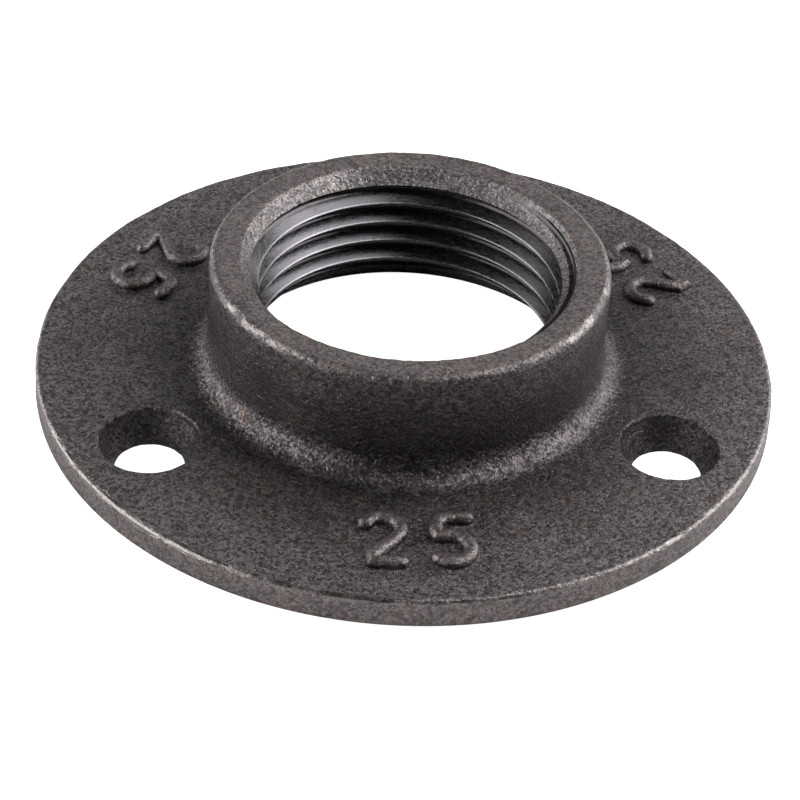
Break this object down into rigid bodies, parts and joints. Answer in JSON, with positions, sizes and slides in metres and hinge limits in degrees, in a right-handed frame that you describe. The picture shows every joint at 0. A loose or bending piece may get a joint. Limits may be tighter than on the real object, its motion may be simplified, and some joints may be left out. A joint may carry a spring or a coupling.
{
  "type": "threaded floor flange",
  "caption": "Round cast-iron floor flange with a sloped plate, a filleted central hub threaded for pipe, and evenly spaced screw holes for fixing to a floor, wall or board.",
  "frame": {"origin": "centre of the flat base, on the bore's axis", "axes": "+Z along the bore's axis from the base to the hub's mouth, +Y from the bore's axis through one screw hole"},
  "size_m": [0.0754, 0.0754, 0.0155],
  "materials": {
    "cast_iron": "dark grey-brown sand-cast skin with fine grain, edges worn a little brighter, machined grey in the bore"
  },
  "bodies": {
    "root": {"flange": "cast_iron"}
  },
  "joints": []
}
